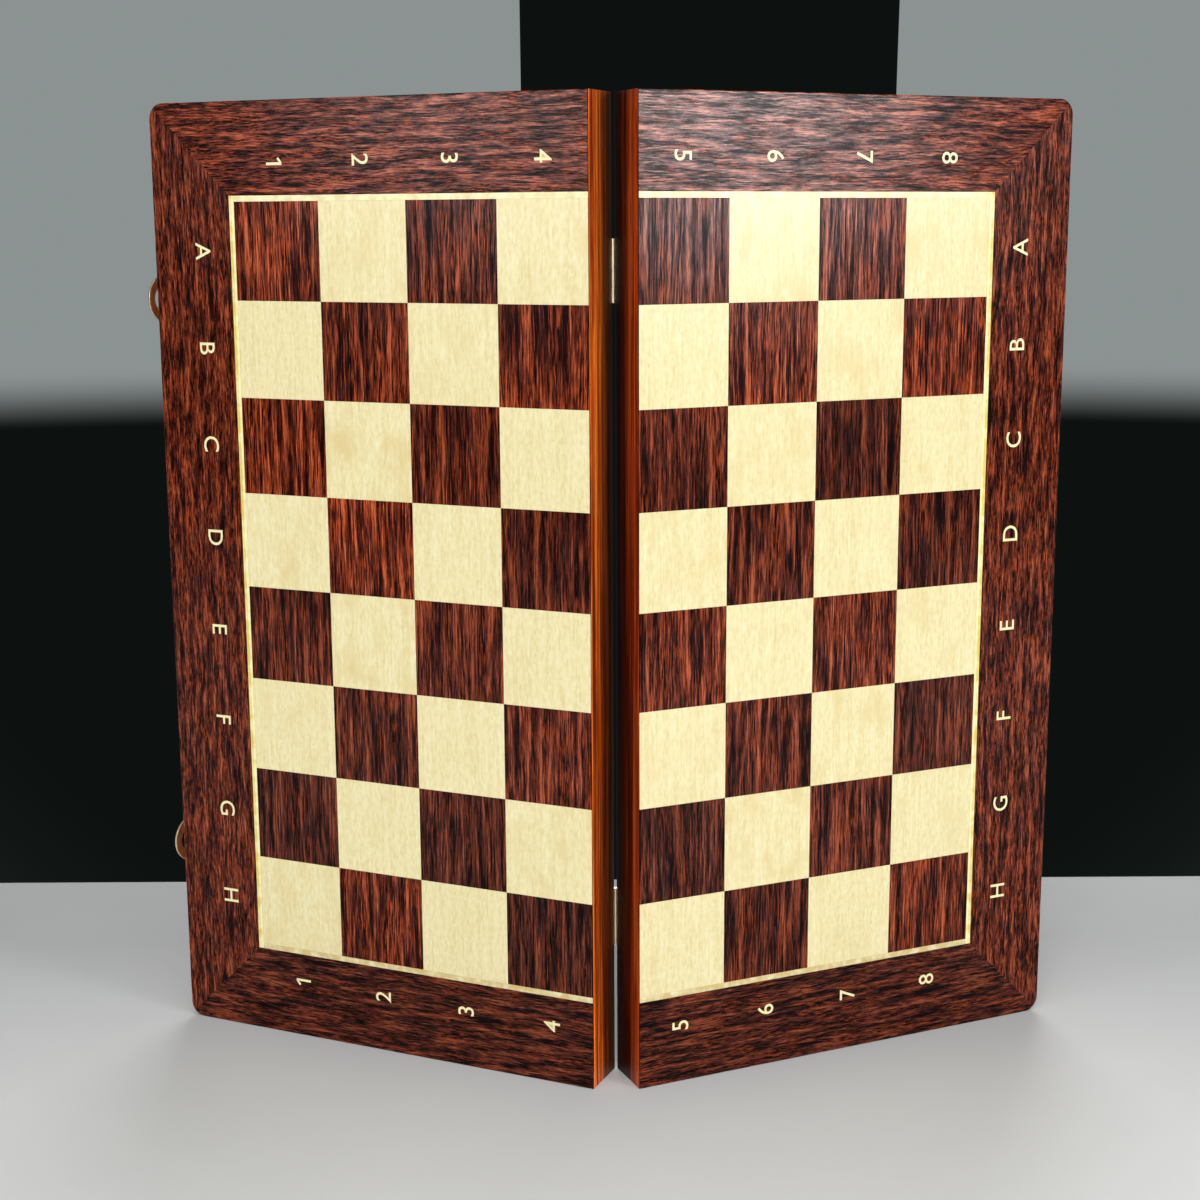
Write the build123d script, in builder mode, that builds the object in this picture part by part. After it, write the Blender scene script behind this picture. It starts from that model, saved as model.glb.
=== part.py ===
from build123d import *
import os
from math import cos, radians, sin

os.makedirs("parts", exist_ok=True)

# A folding chess case: two shallow trays hinged like a book, whose outer faces are the two
# halves of the board. It stands on its short ends, half open, with the hinge line upright.
# All sizes are in millimetres. The origin is the middle of its footprint, on the surface
# it stands on: +X to the right, +Y away from the board side, +Z up.

# Board
square = 50.0
ranks = 8
files = 4
seam_trim = 1.8
stringing_width = 3.0
border_width = 47.0
veneer_thickness = 0.8
veneer_joint = 0.05
edge_bevel = 0.4

# Tray
half_depth = 28.5
wall_thickness = 10.0
panel_thickness = 4.0
rebate_width = 5.0
corner_radius = 8.0
rim_bevel = 0.5
felt_thickness = 1.0
felt_gap = 0.4
joinery_fit = 0.1

# Dividers
divider_thickness = 4.0
divider_drop = 1.2
divider_bevel = 0.8
housing_depth = 2.5

# Fold: the hinge line stands off the hinge walls and just past the rims
fold_angle = 132.5
hinge_standoff = 0.47
rim_gap = 0.3
hinge_inset = 84.5
hinge_length = 31.0
knuckle_count = 4
knuckle_radius = 1.2
knuckle_gap = 0.2
knuckle_relief = 0.3
pin_radius = 0.6
pin_fit = 0.05
leaf_thickness = 1.0
leaf_reach = 8.4
leaf_screw_spacing = 19.0

# Screws
screw_radius = 1.0
screw_head_radius = 1.9
screw_head_rim = 0.1
screw_tip = 0.7
screw_sides = 10
screw_fit = 0.05
leaf_screw_length = 9.0
clasp_screw_length = 6.5

# Clasps: a round brass loop on the left half drops over a stud on the right half
clasp_inset = 100.0
clasp_plate_thickness = 1.0
clasp_plate_width = 24.0
clasp_plate_depth = 12.5
clasp_plate_corner = 2.0
clasp_screw_spacing = 16.0
clasp_pivot_inset = 1.8
clasp_barrel_radius = 1.2
clasp_barrel_length = 19.0
loop_knuckle_length = 8.0
loop_thickness = 1.0
loop_clear = 0.3
loop_radius = 12.8
loop_eye_radius = 7.2
loop_eye_band = 4.2
loop_neck = 0.6
loop_swing = 170.0
stud_clear = 0.7
stud_rise = 1.0
stud_bevel = 1.0
catch_width = 27.0
catch_depth = 13.0
catch_screw_spacing = 21.0

# Worked out from the above
field_width = files * square - seam_trim
field_length = ranks * square
half_width = field_width + stringing_width + border_width
half_length = field_length + 2 * (stringing_width + border_width)
field_foot = stringing_width + border_width
tray_floor = veneer_thickness + panel_thickness
felt_top = tray_floor + felt_thickness
divider_top = half_depth - divider_drop
tray_width = half_width - 2 * wall_thickness
tray_length = half_length - 2 * wall_thickness
hinge_heights = (hinge_inset, half_length - hinge_inset)
clasp_heights = (clasp_inset, half_length - clasp_inset)

# The left half's own frame: x runs from the hinge wall to the clasp wall, y up, and
# z from the board face in towards the rim. The right half is its mirror image.
lean = radians((180 - fold_angle) / 2)
outward = Vector(-cos(lean), sin(lean), 0)
inward = Vector(sin(lean), cos(lean), 0)
axis_depth = half_depth + rim_gap / 2
corner_x = -hinge_standoff * cos(lean) - axis_depth * sin(lean)
corner_y = -(half_width * sin(lean) + half_depth * cos(lean)) / 2
face = Plane(origin=(corner_x, corner_y, 0), x_dir=outward, z_dir=inward)
rim = face.offset(half_depth)
# Plan sections have x along the depth and y away from the hinge wall
plan = Plane(origin=face.origin, x_dir=inward, z_dir=(0, 0, 1))
# The clasp wall's outside has x up, y along the depth and z off the wall
clasp_wall = Plane(
    origin=face.from_local_coords((half_width, 0, 0)), x_dir=(0, 0, 1), z_dir=outward
)
clasp_outside = clasp_wall.offset(clasp_plate_thickness)
depth_axis = Axis(face.origin, inward)
width_axis = Axis(face.origin, outward)
hinge_line = (axis_depth, -hinge_standoff)

# The clasp pivot, and the plane its loop lies in: x up, y from the pivot to the tip
pivot_depth = half_depth - clasp_pivot_inset
pivot_standoff = clasp_plate_thickness + loop_clear + loop_thickness / 2
pivot = (pivot_depth, half_width + pivot_standoff)
swing = radians(loop_swing)
loop_way = inward * cos(swing) + outward * sin(swing)
loop_plane = Plane(
    origin=face.from_local_coords((pivot[1], 0, pivot[0])),
    x_dir=(0, 0, 1),
    z_dir=Vector(0, 0, 1).cross(loop_way),
)
barrel_keep_off = clasp_barrel_radius + knuckle_relief
loop_centre = loop_neck + loop_radius
eye_centre = loop_neck + 2 * loop_radius - loop_eye_band - loop_eye_radius
plate_depth_centre = pivot_depth - clasp_plate_depth / 2
clasp_screw_depth = plate_depth_centre - clasp_barrel_radius
catch_depth_centre = 2 * axis_depth - pivot_depth - eye_centre


def save(piece, name):
    piece.part.label = name
    export_step(piece.part, f"parts/{name}.step")


def save_mirrored(piece, name):
    with BuildPart() as opposite:
        mirror(piece.part, about=Plane.YZ)
    save(opposite, name)


def save_both(piece, name):
    save(piece, f"left_{name}")
    save_mirrored(piece, f"right_{name}")


def outline(mode=Mode.ADD):
    """One half's outline: square at the hinge, round at the two outer corners."""
    with BuildSketch(mode=Mode.PRIVATE) as shape:
        Rectangle(half_width, half_length, align=Align.MIN)
        fillet(shape.vertices().group_by(Axis.X)[-1], corner_radius)
    add(shape.sketch, mode=mode)


def mitred(side, width, hinge_end):
    """Corners of one member of a frame of that width, mitred at the two outer corners.
    hinge_end is how far from the hinge wall its inner edge starts."""
    inner_x = half_width - width
    inner_y = half_length - width
    corners = {
        "hinge": [(0, 0), (width, width), (width, inner_y), (0, half_length)],
        "side": [(half_width, 0), (half_width, half_length), (inner_x, inner_y), (inner_x, width)],
        "bottom": [(0, 0), (half_width, 0), (inner_x, width), (hinge_end, width)],
        "top": [(0, half_length), (hinge_end, inner_y), (inner_x, inner_y), (half_width, half_length)],
    }
    return corners[side]


def frame_ring():
    """All four rails of a half before they are cut apart at the mitres."""
    centre = (half_width / 2, half_length / 2)
    with BuildPart() as ring:
        with BuildSketch(face.offset(veneer_thickness)):
            outline()
        extrude(amount=half_depth - veneer_thickness)
        with BuildSketch(face.offset(veneer_thickness)):
            with Locations(centre):
                Rectangle(half_width - 2 * rebate_width, half_length - 2 * rebate_width)
        extrude(amount=panel_thickness, mode=Mode.SUBTRACT)
        with BuildSketch(face.offset(tray_floor)):
            with Locations(centre):
                Rectangle(tray_width, tray_length)
        extrude(amount=half_depth - tray_floor, mode=Mode.SUBTRACT)
        chamfer(ring.faces().sort_by(depth_axis)[-1].edges(), rim_bevel)
        # Housings that take the ends of the dividers
        housing = divider_thickness + 2 * joinery_fit
        with BuildSketch(face.offset(tray_floor)):
            with Locations(centre):
                Rectangle(housing, tray_length + 2 * housing_depth)
                Rectangle(tray_width + 2 * housing_depth, housing)
        extrude(amount=divider_top + joinery_fit - tray_floor, mode=Mode.SUBTRACT)
    return ring


def rail(ring, side):
    with BuildPart() as piece:
        add(ring.part)
        with BuildSketch(face.offset(veneer_thickness)):
            with BuildLine():
                Polyline(*mitred(side, wall_thickness, wall_thickness), close=True)
            make_face()
        extrude(amount=half_depth - veneer_thickness, mode=Mode.INTERSECT)
    return piece


def hinge_rail(ring):
    """The hinge wall, with a mortise for each leaf, relief for the knuckles and pilot holes."""
    blank = rail(ring, "hinge")
    mortise_reach = leaf_reach + joinery_fit
    mortise_length = hinge_length + 2 * joinery_fit
    with BuildPart() as piece:
        add(blank.part)
        for height in hinge_heights:
            with BuildSketch(rim):
                with Locations((mortise_reach / 2, height)):
                    Rectangle(mortise_reach, mortise_length)
            extrude(amount=-leaf_thickness, mode=Mode.SUBTRACT)
            with BuildSketch(plan.offset(height - mortise_length / 2)):
                with Locations(hinge_line):
                    Circle(knuckle_radius + knuckle_relief)
            extrude(amount=mortise_length, mode=Mode.SUBTRACT)
            with Locations(rim), Locations(*leaf_screw_points(height)):
                add(leaf_screw_hole, mode=Mode.SUBTRACT)
    return piece


def clasp_rail(ring, screw_depth, spacing):
    """The wall opposite the hinge, with pilot holes for its clasp screws."""
    blank = rail(ring, "side")
    points = clasp_screw_points(screw_depth, spacing)
    with BuildPart() as piece:
        add(blank.part)
        with Locations(clasp_outside), Locations(*points):
            add(clasp_screw_hole, mode=Mode.SUBTRACT)
    return piece


def leaf_screw_points(height):
    across = (leaf_plate_start() + leaf_reach) / 2
    half = leaf_screw_spacing / 2
    return [(across, height - half), (across, height + half)]


def clasp_screw_points(depth, spacing):
    half = spacing / 2
    return [(h + s, depth) for h in clasp_heights for s in (-half, half)]


def leaf_plate_start():
    return knuckle_radius + knuckle_relief - hinge_standoff


def panel():
    """The plywood board that carries the veneer, set in the rails' rebate."""
    with BuildPart() as piece:
        with BuildSketch(face.offset(veneer_thickness)):
            with Locations((half_width / 2, half_length / 2)):
                Rectangle(
                    half_width - 2 * (rebate_width + joinery_fit),
                    half_length - 2 * (rebate_width + joinery_fit),
                )
        extrude(amount=panel_thickness)
    return piece


def squares(parity):
    """Every second square of the field; the file beside the hinge is sawn narrower."""
    with BuildPart() as piece:
        with BuildSketch(face):
            for i in range(files):
                start = max(0, i * square - seam_trim)
                width = (i + 1) * square - seam_trim - start
                for j in range(ranks):
                    if (i + j) % 2 != parity:
                        continue
                    foot = field_foot + j * square
                    with Locations((start + width / 2, foot + square / 2)):
                        Rectangle(width - veneer_joint, square - veneer_joint)
        extrude(amount=veneer_thickness)
    return piece


def stringing():
    """The light line round the field: one long strip with two short ones butted to it."""
    with BuildPart() as piece:
        with BuildSketch(face):
            width = stringing_width - veneer_joint
            with Locations((field_width + stringing_width / 2, half_length / 2)):
                Rectangle(width, field_length + 2 * stringing_width - veneer_joint)
            for side in (-1, 1):
                across = half_length / 2 + side * (field_length + stringing_width) / 2
                with Locations((field_width / 2, across)):
                    Rectangle(field_width - veneer_joint, width)
        extrude(amount=veneer_thickness)
    return piece


def border_blank():
    """The whole border before mitring, with its outer arris rounded."""
    with BuildPart() as blank:
        with BuildSketch(face):
            outline()
        extrude(amount=veneer_thickness)
        arris = blank.edges().group_by(depth_axis)[0].sort_by(width_axis)[1:]
        chamfer(arris, edge_bevel)
    return blank


def border(blank, side):
    """One mitred strip of the dark border, cut square at the hinge."""
    with BuildPart() as piece:
        add(blank.part)
        with BuildSketch(face):
            with BuildLine():
                Polyline(*mitred(side, border_width, 0), close=True)
            make_face()
        extrude(amount=veneer_thickness, mode=Mode.INTERSECT)
    return piece


def felt():
    with BuildPart() as piece:
        with BuildSketch(face.offset(tray_floor)):
            with Locations((half_width / 2, half_length / 2)):
                Rectangle(tray_width - 2 * felt_gap, tray_length - 2 * felt_gap)
        extrude(amount=felt_thickness)
    return piece


def divider(along_hinge):
    """One of two crossed slats, each let into the rails and half lapped over the other."""
    centre = (half_width / 2, half_length / 2)
    end = housing_depth - joinery_fit
    lap = divider_thickness + 2 * joinery_fit
    height = divider_top - felt_top
    with BuildPart() as piece:
        with BuildSketch(face.offset(felt_top)):
            with Locations(centre):
                if along_hinge:
                    Rectangle(divider_thickness, tray_length + 2 * end)
                else:
                    Rectangle(tray_width + 2 * end, divider_thickness)
        extrude(amount=height)
        long_edges = piece.faces().sort_by(depth_axis)[-1].edges().sort_by(SortBy.LENGTH)
        chamfer(long_edges[-2:], divider_bevel)
        lap_start = felt_top + height / 2 if along_hinge else felt_top
        with BuildSketch(face.offset(lap_start)):
            with Locations(centre):
                Rectangle(lap, lap)
        lap_depth = height / 2 if along_hinge else height / 2 + joinery_fit
        extrude(amount=lap_depth, mode=Mode.SUBTRACT)
    return piece


def hinge_leaf(height, own_knuckles):
    """A butt hinge leaf: plate, its share of the knuckles, pin bore and countersunk holes."""
    pitch = hinge_length / knuckle_count
    foot = height - hinge_length / 2
    start = leaf_plate_start()
    with BuildPart(rim) as piece:
        with BuildSketch(rim):
            with Locations(((start + leaf_reach) / 2, height)):
                Rectangle(leaf_reach - start, hinge_length)
        extrude(amount=-leaf_thickness)
        for knuckle in own_knuckles:
            with BuildSketch(plan.offset(foot + knuckle * pitch + knuckle_gap / 2)):
                with Locations(hinge_line):
                    Circle(knuckle_radius)
                tab_width = start + hinge_standoff
                with Locations((half_depth - leaf_thickness / 2, start - tab_width / 2)):
                    Rectangle(leaf_thickness, tab_width)
            extrude(amount=pitch - knuckle_gap)
        with BuildSketch(plan.offset(foot)):
            with Locations(hinge_line):
                Circle(pin_radius + pin_fit)
        extrude(amount=hinge_length, mode=Mode.SUBTRACT)
        with Locations(*leaf_screw_points(height)):
            add(leaf_screw_hole, mode=Mode.SUBTRACT)
    return piece


def pin(point, foot, length):
    with BuildPart() as piece:
        with BuildSketch(plan.offset(foot)):
            with Locations(point):
                Circle(pin_radius)
        extrude(amount=length)
    return piece


def wood_screw(length, clearance=0.0):
    """A countersunk screw, head up just under the origin, or the hole for one when it is
    given a clearance. Its few sides are because it repeats."""
    sink = screw_head_radius - screw_radius
    with BuildPart() as screw:
        with BuildSketch(Plane.XY.offset(clearance - screw_fit)):
            RegularPolygon(screw_head_radius + clearance, screw_sides)
        extrude(amount=-(screw_head_rim + sink) - clearance)
        chamfer(screw.faces().sort_by(Axis.Z)[0].edges(), sink)
        with BuildSketch(Plane.XY.offset(clearance - screw_fit)):
            RegularPolygon(screw_radius + clearance, screw_sides)
        extrude(amount=-length - clearance)
        chamfer(screw.faces().sort_by(Axis.Z)[0].edges(), screw_tip)
    return screw.part


def screws(plane, points, length):
    screw = wood_screw(length)
    with BuildPart(plane) as piece:
        with Locations(*points):
            add(screw)
    return piece


def clasp_plate(height):
    """The clasp's fixed plate, with the two outer knuckles of its pivot."""
    knuckle_length = (clasp_barrel_length - loop_knuckle_length) / 2 - knuckle_gap
    with BuildPart(clasp_outside) as piece:
        with BuildSketch(clasp_wall):
            with Locations((height, plate_depth_centre)):
                plate = Rectangle(clasp_plate_width, clasp_plate_depth)
            fillet(plate.vertices().group_by(Axis.Y)[0], clasp_plate_corner)
        extrude(amount=clasp_plate_thickness)
        for foot in (
            height - clasp_barrel_length / 2,
            height + clasp_barrel_length / 2 - knuckle_length,
        ):
            with BuildSketch(plan.offset(foot)):
                with Locations(pivot):
                    Circle(clasp_barrel_radius)
                lip = clasp_barrel_radius / 2
                with Locations((pivot_depth, half_width + pivot_standoff / 2)):
                    Rectangle(2 * lip, pivot_standoff)
            extrude(amount=knuckle_length)
        # Room for the loop's own knuckle
        with BuildSketch(clasp_wall):
            with Locations((height, pivot_depth)):
                Rectangle(loop_knuckle_length + 2 * knuckle_gap, 2 * barrel_keep_off)
        extrude(amount=2 * pivot_standoff, mode=Mode.SUBTRACT)
        with BuildSketch(plan.offset(height - clasp_barrel_length / 2)):
            with Locations(pivot):
                Circle(pin_radius + pin_fit)
        extrude(amount=clasp_barrel_length, mode=Mode.SUBTRACT)
        half = clasp_screw_spacing / 2
        with Locations((height - half, clasp_screw_depth), (height + half, clasp_screw_depth)):
            add(clasp_screw_hole, mode=Mode.SUBTRACT)
    return piece


def clasp_loop(height):
    """The swinging loop: a ring with its eye nearer the tip, and one knuckle."""
    lowest = height - loop_knuckle_length / 2
    with BuildPart() as piece:
        with BuildSketch(loop_plane):
            with Locations((height, loop_centre)):
                Circle(loop_radius)
            with Locations((height, eye_centre)):
                Circle(loop_eye_radius, mode=Mode.SUBTRACT)
            with Locations((height, 0)):
                Rectangle(2 * loop_radius, 2 * barrel_keep_off, mode=Mode.SUBTRACT)
            with Locations((height, barrel_keep_off)):
                Rectangle(loop_knuckle_length, 2 * barrel_keep_off)
        extrude(amount=loop_thickness / 2, both=True)
        with BuildSketch(plan.offset(lowest)):
            with Locations(pivot):
                Circle(clasp_barrel_radius)
        extrude(amount=loop_knuckle_length)
        with BuildSketch(plan.offset(lowest)):
            with Locations(pivot):
                Circle(pin_radius + pin_fit)
        extrude(amount=loop_knuckle_length, mode=Mode.SUBTRACT)
    return piece


def catch(height):
    """The plate and domed stud that a loop drops over, modelled on the left half's wall."""
    stud_height = pivot_standoff + loop_thickness / 2 + stud_rise - clasp_plate_thickness
    with BuildPart(clasp_outside) as piece:
        with BuildSketch(clasp_wall):
            with Locations((height, catch_depth_centre)):
                RectangleRounded(catch_width, catch_depth, clasp_plate_corner)
        extrude(amount=clasp_plate_thickness)
        with BuildSketch(clasp_outside):
            with Locations((height, catch_depth_centre)):
                Circle(loop_eye_radius - stud_clear)
        extrude(amount=stud_height)
        chamfer(piece.faces().sort_by(width_axis)[-1].edges(), stud_bevel)
        half = catch_screw_spacing / 2
        with Locations((height - half, catch_depth_centre), (height + half, catch_depth_centre)):
            add(clasp_screw_hole, mode=Mode.SUBTRACT)
    return piece


# Screw holes, cut alike in the brass and in the wood behind it
leaf_screw_hole = wood_screw(leaf_screw_length, screw_fit)
clasp_screw_hole = wood_screw(clasp_screw_length, screw_fit)

# Trays
ring = frame_ring()
save_both(hinge_rail(ring), "hinge_rail")
save_both(rail(ring, "top"), "top_rail")
save_both(rail(ring, "bottom"), "bottom_rail")
save(clasp_rail(ring, clasp_screw_depth, clasp_screw_spacing), "left_clasp_rail")
save_mirrored(clasp_rail(ring, catch_depth_centre, catch_screw_spacing), "right_clasp_rail")
save_both(panel(), "panel")
save_both(felt(), "felt_lining")
save_both(divider(along_hinge=True), "long_divider")
save_both(divider(along_hinge=False), "cross_divider")

# Board veneers: mirroring swaps which squares are dark
even_squares = squares(0)
odd_squares = squares(1)
save(even_squares, "left_dark_squares")
save(odd_squares, "left_light_squares")
save_mirrored(odd_squares, "right_dark_squares")
save_mirrored(even_squares, "right_light_squares")
save_both(stringing(), "stringing")
blank = border_blank()
for side in ("top", "side", "bottom"):
    save_both(border(blank, side), f"border_{side}")

# Hinges
left_knuckles = range(0, knuckle_count, 2)
right_knuckles = range(1, knuckle_count, 2)
for name, height in zip(("lower", "upper"), hinge_heights):
    save(hinge_leaf(height, left_knuckles), f"{name}_hinge_left_leaf")
    save_mirrored(hinge_leaf(height, right_knuckles), f"{name}_hinge_right_leaf")
    save(pin(hinge_line, height - hinge_length / 2, hinge_length), f"{name}_hinge_pin")
leaf_points = [point for height in hinge_heights for point in leaf_screw_points(height)]
save_both(screws(rim, leaf_points, leaf_screw_length), "hinge_screws")

# Clasps
for name, height in zip(("lower", "upper"), clasp_heights):
    save(clasp_plate(height), f"{name}_clasp_plate")
    save(clasp_loop(height), f"{name}_clasp_loop")
    foot = height - clasp_barrel_length / 2
    save(pin(pivot, foot, clasp_barrel_length), f"{name}_clasp_pin")
    save_mirrored(catch(height), f"{name}_catch")
plate_points = clasp_screw_points(clasp_screw_depth, clasp_screw_spacing)
save(screws(clasp_outside, plate_points, clasp_screw_length), "clasp_plate_screws")
catch_points = clasp_screw_points(catch_depth_centre, catch_screw_spacing)
save_mirrored(screws(clasp_outside, catch_points, clasp_screw_length), "catch_screws")
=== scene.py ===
# Looks of a folding chess case that stands half open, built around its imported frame
import bpy
from math import cos, pi, radians, sin
from mathutils import Matrix, Vector


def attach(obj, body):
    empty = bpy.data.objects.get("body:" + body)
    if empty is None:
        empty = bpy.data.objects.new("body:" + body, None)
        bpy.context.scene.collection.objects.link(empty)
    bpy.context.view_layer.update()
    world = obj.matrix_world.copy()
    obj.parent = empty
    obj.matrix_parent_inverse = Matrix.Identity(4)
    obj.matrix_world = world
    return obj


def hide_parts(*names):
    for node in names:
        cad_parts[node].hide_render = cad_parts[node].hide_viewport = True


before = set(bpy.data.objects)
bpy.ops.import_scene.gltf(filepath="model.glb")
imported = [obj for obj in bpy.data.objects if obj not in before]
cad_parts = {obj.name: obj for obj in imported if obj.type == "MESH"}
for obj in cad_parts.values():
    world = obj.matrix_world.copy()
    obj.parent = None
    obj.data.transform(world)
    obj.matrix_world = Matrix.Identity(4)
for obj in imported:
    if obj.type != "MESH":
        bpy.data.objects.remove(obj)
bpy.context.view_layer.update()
scene = bpy.context.scene
bodies = {"left": "left_half", "right": "right_half"}
print("frame loaded:", len(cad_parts), "nodes")

# The board's own measures, in metres, as the frame has them
board = {
    "lean": radians(23.75),  # how far each face turns away from the camera
    "cornerX": 0.011969,     # where the right face meets its hinge wall
    "cornerY": -0.063024,
    "square": 0.05,
    "seamTrim": 0.0018,      # what the saw took from the squares beside the hinge
    "fieldFoot": 0.05,       # the field of squares starts this far up
    "fieldWidth": 0.1982,
    "halfWidth": 0.2482,
    "halfLength": 0.5,
    "halfDepth": 0.0285,
}
upward = Vector((0, 0, 1))
smoothAngle = radians(40)
flatAngle = radians(1)
mergeDistance = 0.000002
squarely = (0.8, 0.95)  # the cosine where a face starts to look one way, and where it fully does


def sideSign(side):
    return -1 if side == "left" else 1


# The place on one half that is across from the hinge wall, up from the floor and in from the face
def boardPoint(side, across, up, depth=0.0):
    sign, lean = sideSign(side), board["lean"]
    return Vector((
        sign * (board["cornerX"] + across * cos(lean) - depth * sin(lean)),
        board["cornerY"] + across * sin(lean) + depth * cos(lean),
        up,
    ))


# Away from the hinge, along one half's face
def outwardOf(side):
    return Vector((sideSign(side) * cos(board["lean"]), sin(board["lean"]), 0))


# From the face to the rims
def inwardOf(side):
    return Vector((-sideSign(side) * sin(board["lean"]), cos(board["lean"]), 0))


# Gives sockets, by name or number, a value or a link from another socket
def fillSockets(tree, node, sockets):
    for name, value in sockets.items():
        if isinstance(value, bpy.types.NodeSocket):
            tree.links.new(value, node.inputs[name])
        else:
            node.inputs[name].default_value = value


def addNode(tree, kind, sockets=None, **settings):
    node = tree.nodes.new("ShaderNode" + kind)
    for name, value in settings.items():
        setattr(node, name, value)
    fillSockets(tree, node, sockets or {})
    return node


def useGroup(tree, group, **sockets):
    node = tree.nodes.new("ShaderNodeGroup")
    node.node_tree = group
    fillSockets(tree, node, sockets)
    return node.outputs


def calc(tree, operation, *values, clamp=False):
    sockets = dict(enumerate(values))
    return addNode(tree, "Math", sockets, operation=operation, use_clamp=clamp).outputs[0]


# The sum of some values, each times its share
def weigh(tree, *parts):
    total, *others = [calc(tree, "MULTIPLY", value, share) for value, share in parts]
    for other in others:
        total = calc(tree, "ADD", total, other)
    return total


def joinXyz(tree, x, y, z):
    return addNode(tree, "CombineXYZ", {0: x, 1: y, 2: z}).outputs[0]


def splitXyz(tree, vector):
    return addNode(tree, "SeparateXYZ", {0: vector}).outputs


# A place counted in cells of that length and width
def cellsAt(tree, along, across, size, third=0.0):
    longways = calc(tree, "DIVIDE", along, size[0])
    return joinXyz(tree, longways, calc(tree, "DIVIDE", across, size[1]), third)


def noiseAt(tree, vector, detail=2.0, roughness=0.5, scale=1.0):
    sockets = {"Vector": vector, "Scale": scale, "Detail": detail, "Roughness": roughness}
    return addNode(tree, "TexNoise", sockets).outputs[0]


def remap(tree, value, low, high, toLow=0.0, toHigh=1.0, kind="LINEAR"):
    sockets = {
        "Value": value, "From Min": low, "From Max": high, "To Min": toLow, "To Max": toHigh,
    }
    return addNode(tree, "MapRange", sockets, interpolation_type=kind).outputs[0]


def mixColour(tree, factor, first, second):
    sockets = {0: factor, 6: first, 7: second}
    return addNode(tree, "Mix", sockets, data_type="RGBA").outputs[2]


def scaleColour(tree, colour, scale):
    sockets = {0: colour, "Scale": scale}
    return addNode(tree, "VectorMath", sockets, operation="SCALE").outputs[0]


def rampOf(tree, factor, stops):
    node = addNode(tree, "ValToRGB", {0: factor})
    elements = node.color_ramp.elements
    while len(elements) < len(stops):
        elements.new(0.5)
    for element, (position, colour) in zip(elements, stops):
        element.position = position
        element.color = (*colour, 1)
    return node.outputs[0]


def bumpOf(tree, height, distance, strength):
    sockets = {"Strength": strength, "Distance": distance, "Height": height}
    return addNode(tree, "Bump", sockets).outputs[0]


# A node group with its inputs as {name: value or None for a vector} and its outputs' names
def newGroup(name, inputs, outputs):
    tree = bpy.data.node_groups.new(name, "ShaderNodeTree")
    for label, value in inputs.items():
        kind = "NodeSocketVector" if value is None else "NodeSocketFloat"
        socket = tree.interface.new_socket(label, in_out="INPUT", socket_type=kind)
        if value is not None:
            socket.default_value = value
    for label in outputs:
        tree.interface.new_socket(label, in_out="OUTPUT", socket_type="NodeSocketFloat")
    given = tree.nodes.new("NodeGroupInput").outputs
    return tree, given, tree.nodes.new("NodeGroupOutput").inputs


# Layers are as (times the grain's length, times its width, shift)
grain = {
    "seedShift": (7.31, 3.17),
    "bend": (0.11, 0.04),
    "ripple": (0.014, 0.006),
    "rippleShare": 0.35,
    "fibre": (1.0, 1.0, 0.0),
    "streak": (3.5, 4.0, 13.7),
    "spots": (0.65, 1.1, 41.3),
    "spotEdge": (0.48, 0.68),
    "clusters": (2.6, 9.0, 77.1),
    "clusterEdge": (0.44, 0.64),
}


# Grain that runs along one way: fine fibres, broad streaks and clustered flecks
def makeGrainGroup():
    inputs = {
        "Along": 0.0, "Across": 0.0, "Depth": 0.0, "Seed": 0.0,
        "Length": 0.012, "Width": 0.001, "Wave": 0.002,
    }
    tree, given, out = newGroup("woodGrain", inputs, ["Fibre", "Streak", "Fleck"])
    along, across = [
        calc(tree, "ADD", given[way], calc(tree, "MULTIPLY", given["Seed"], shift))
        for way, shift in zip(("Along", "Across"), grain["seedShift"])
    ]
    bend, ripple = [
        calc(tree, "SUBTRACT", noiseAt(tree, cellsAt(tree, along, across, grain[name]), 1.0), 0.5)
        for name in ("bend", "ripple")
    ]
    shift = calc(tree, "ADD", bend, calc(tree, "MULTIPLY", ripple, grain["rippleShare"]))
    across = calc(tree, "ADD", across, calc(tree, "MULTIPLY", shift, given["Wave"]))

    def layer(name, detail, roughness):
        longer, wider, offset = grain[name]
        length = calc(tree, "MULTIPLY", given["Length"], longer)
        width = calc(tree, "MULTIPLY", given["Width"], wider)
        x = calc(tree, "ADD", calc(tree, "DIVIDE", along, length), offset)
        y, z = [calc(tree, "DIVIDE", way, width) for way in (across, given["Depth"])]
        return noiseAt(tree, joinXyz(tree, x, y, z), detail, roughness)

    spots = remap(tree, layer("spots", 2.0, 0.6), *grain["spotEdge"])
    clusters = remap(tree, layer("clusters", 2.0, 0.5), *grain["clusterEdge"])
    tree.links.new(layer("fibre", 3.0, 0.75), out["Fibre"])
    tree.links.new(layer("streak", 3.0, 0.6), out["Streak"])
    tree.links.new(calc(tree, "MULTIPLY", spots, clusters), out["Fleck"])
    return tree


# Which square of the field a place is in, as two random numbers that are the same all over it
def makeSquareGroup():
    inputs = {"Across": 0.0, "Up": 0.0, "Half": 0.0}
    tree, given, out = newGroup("squareOfField", inputs, ["First", "Second"])
    column, row = [
        calc(tree, "FLOOR", calc(tree, "DIVIDE", place, board["square"]))
        for place in (
            calc(tree, "ADD", given["Across"], board["seamTrim"]),
            calc(tree, "SUBTRACT", given["Up"], board["fieldFoot"]),
        )
    ]
    square = joinXyz(tree, column, row, given["Half"])
    random = addNode(tree, "TexWhiteNoise", {"Vector": square}, noise_dimensions="3D")
    parts = addNode(tree, "SeparateColor", {0: random.outputs["Color"]})
    tree.links.new(parts.outputs[0], out["First"])
    tree.links.new(parts.outputs[1], out["Second"])
    return tree


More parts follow.
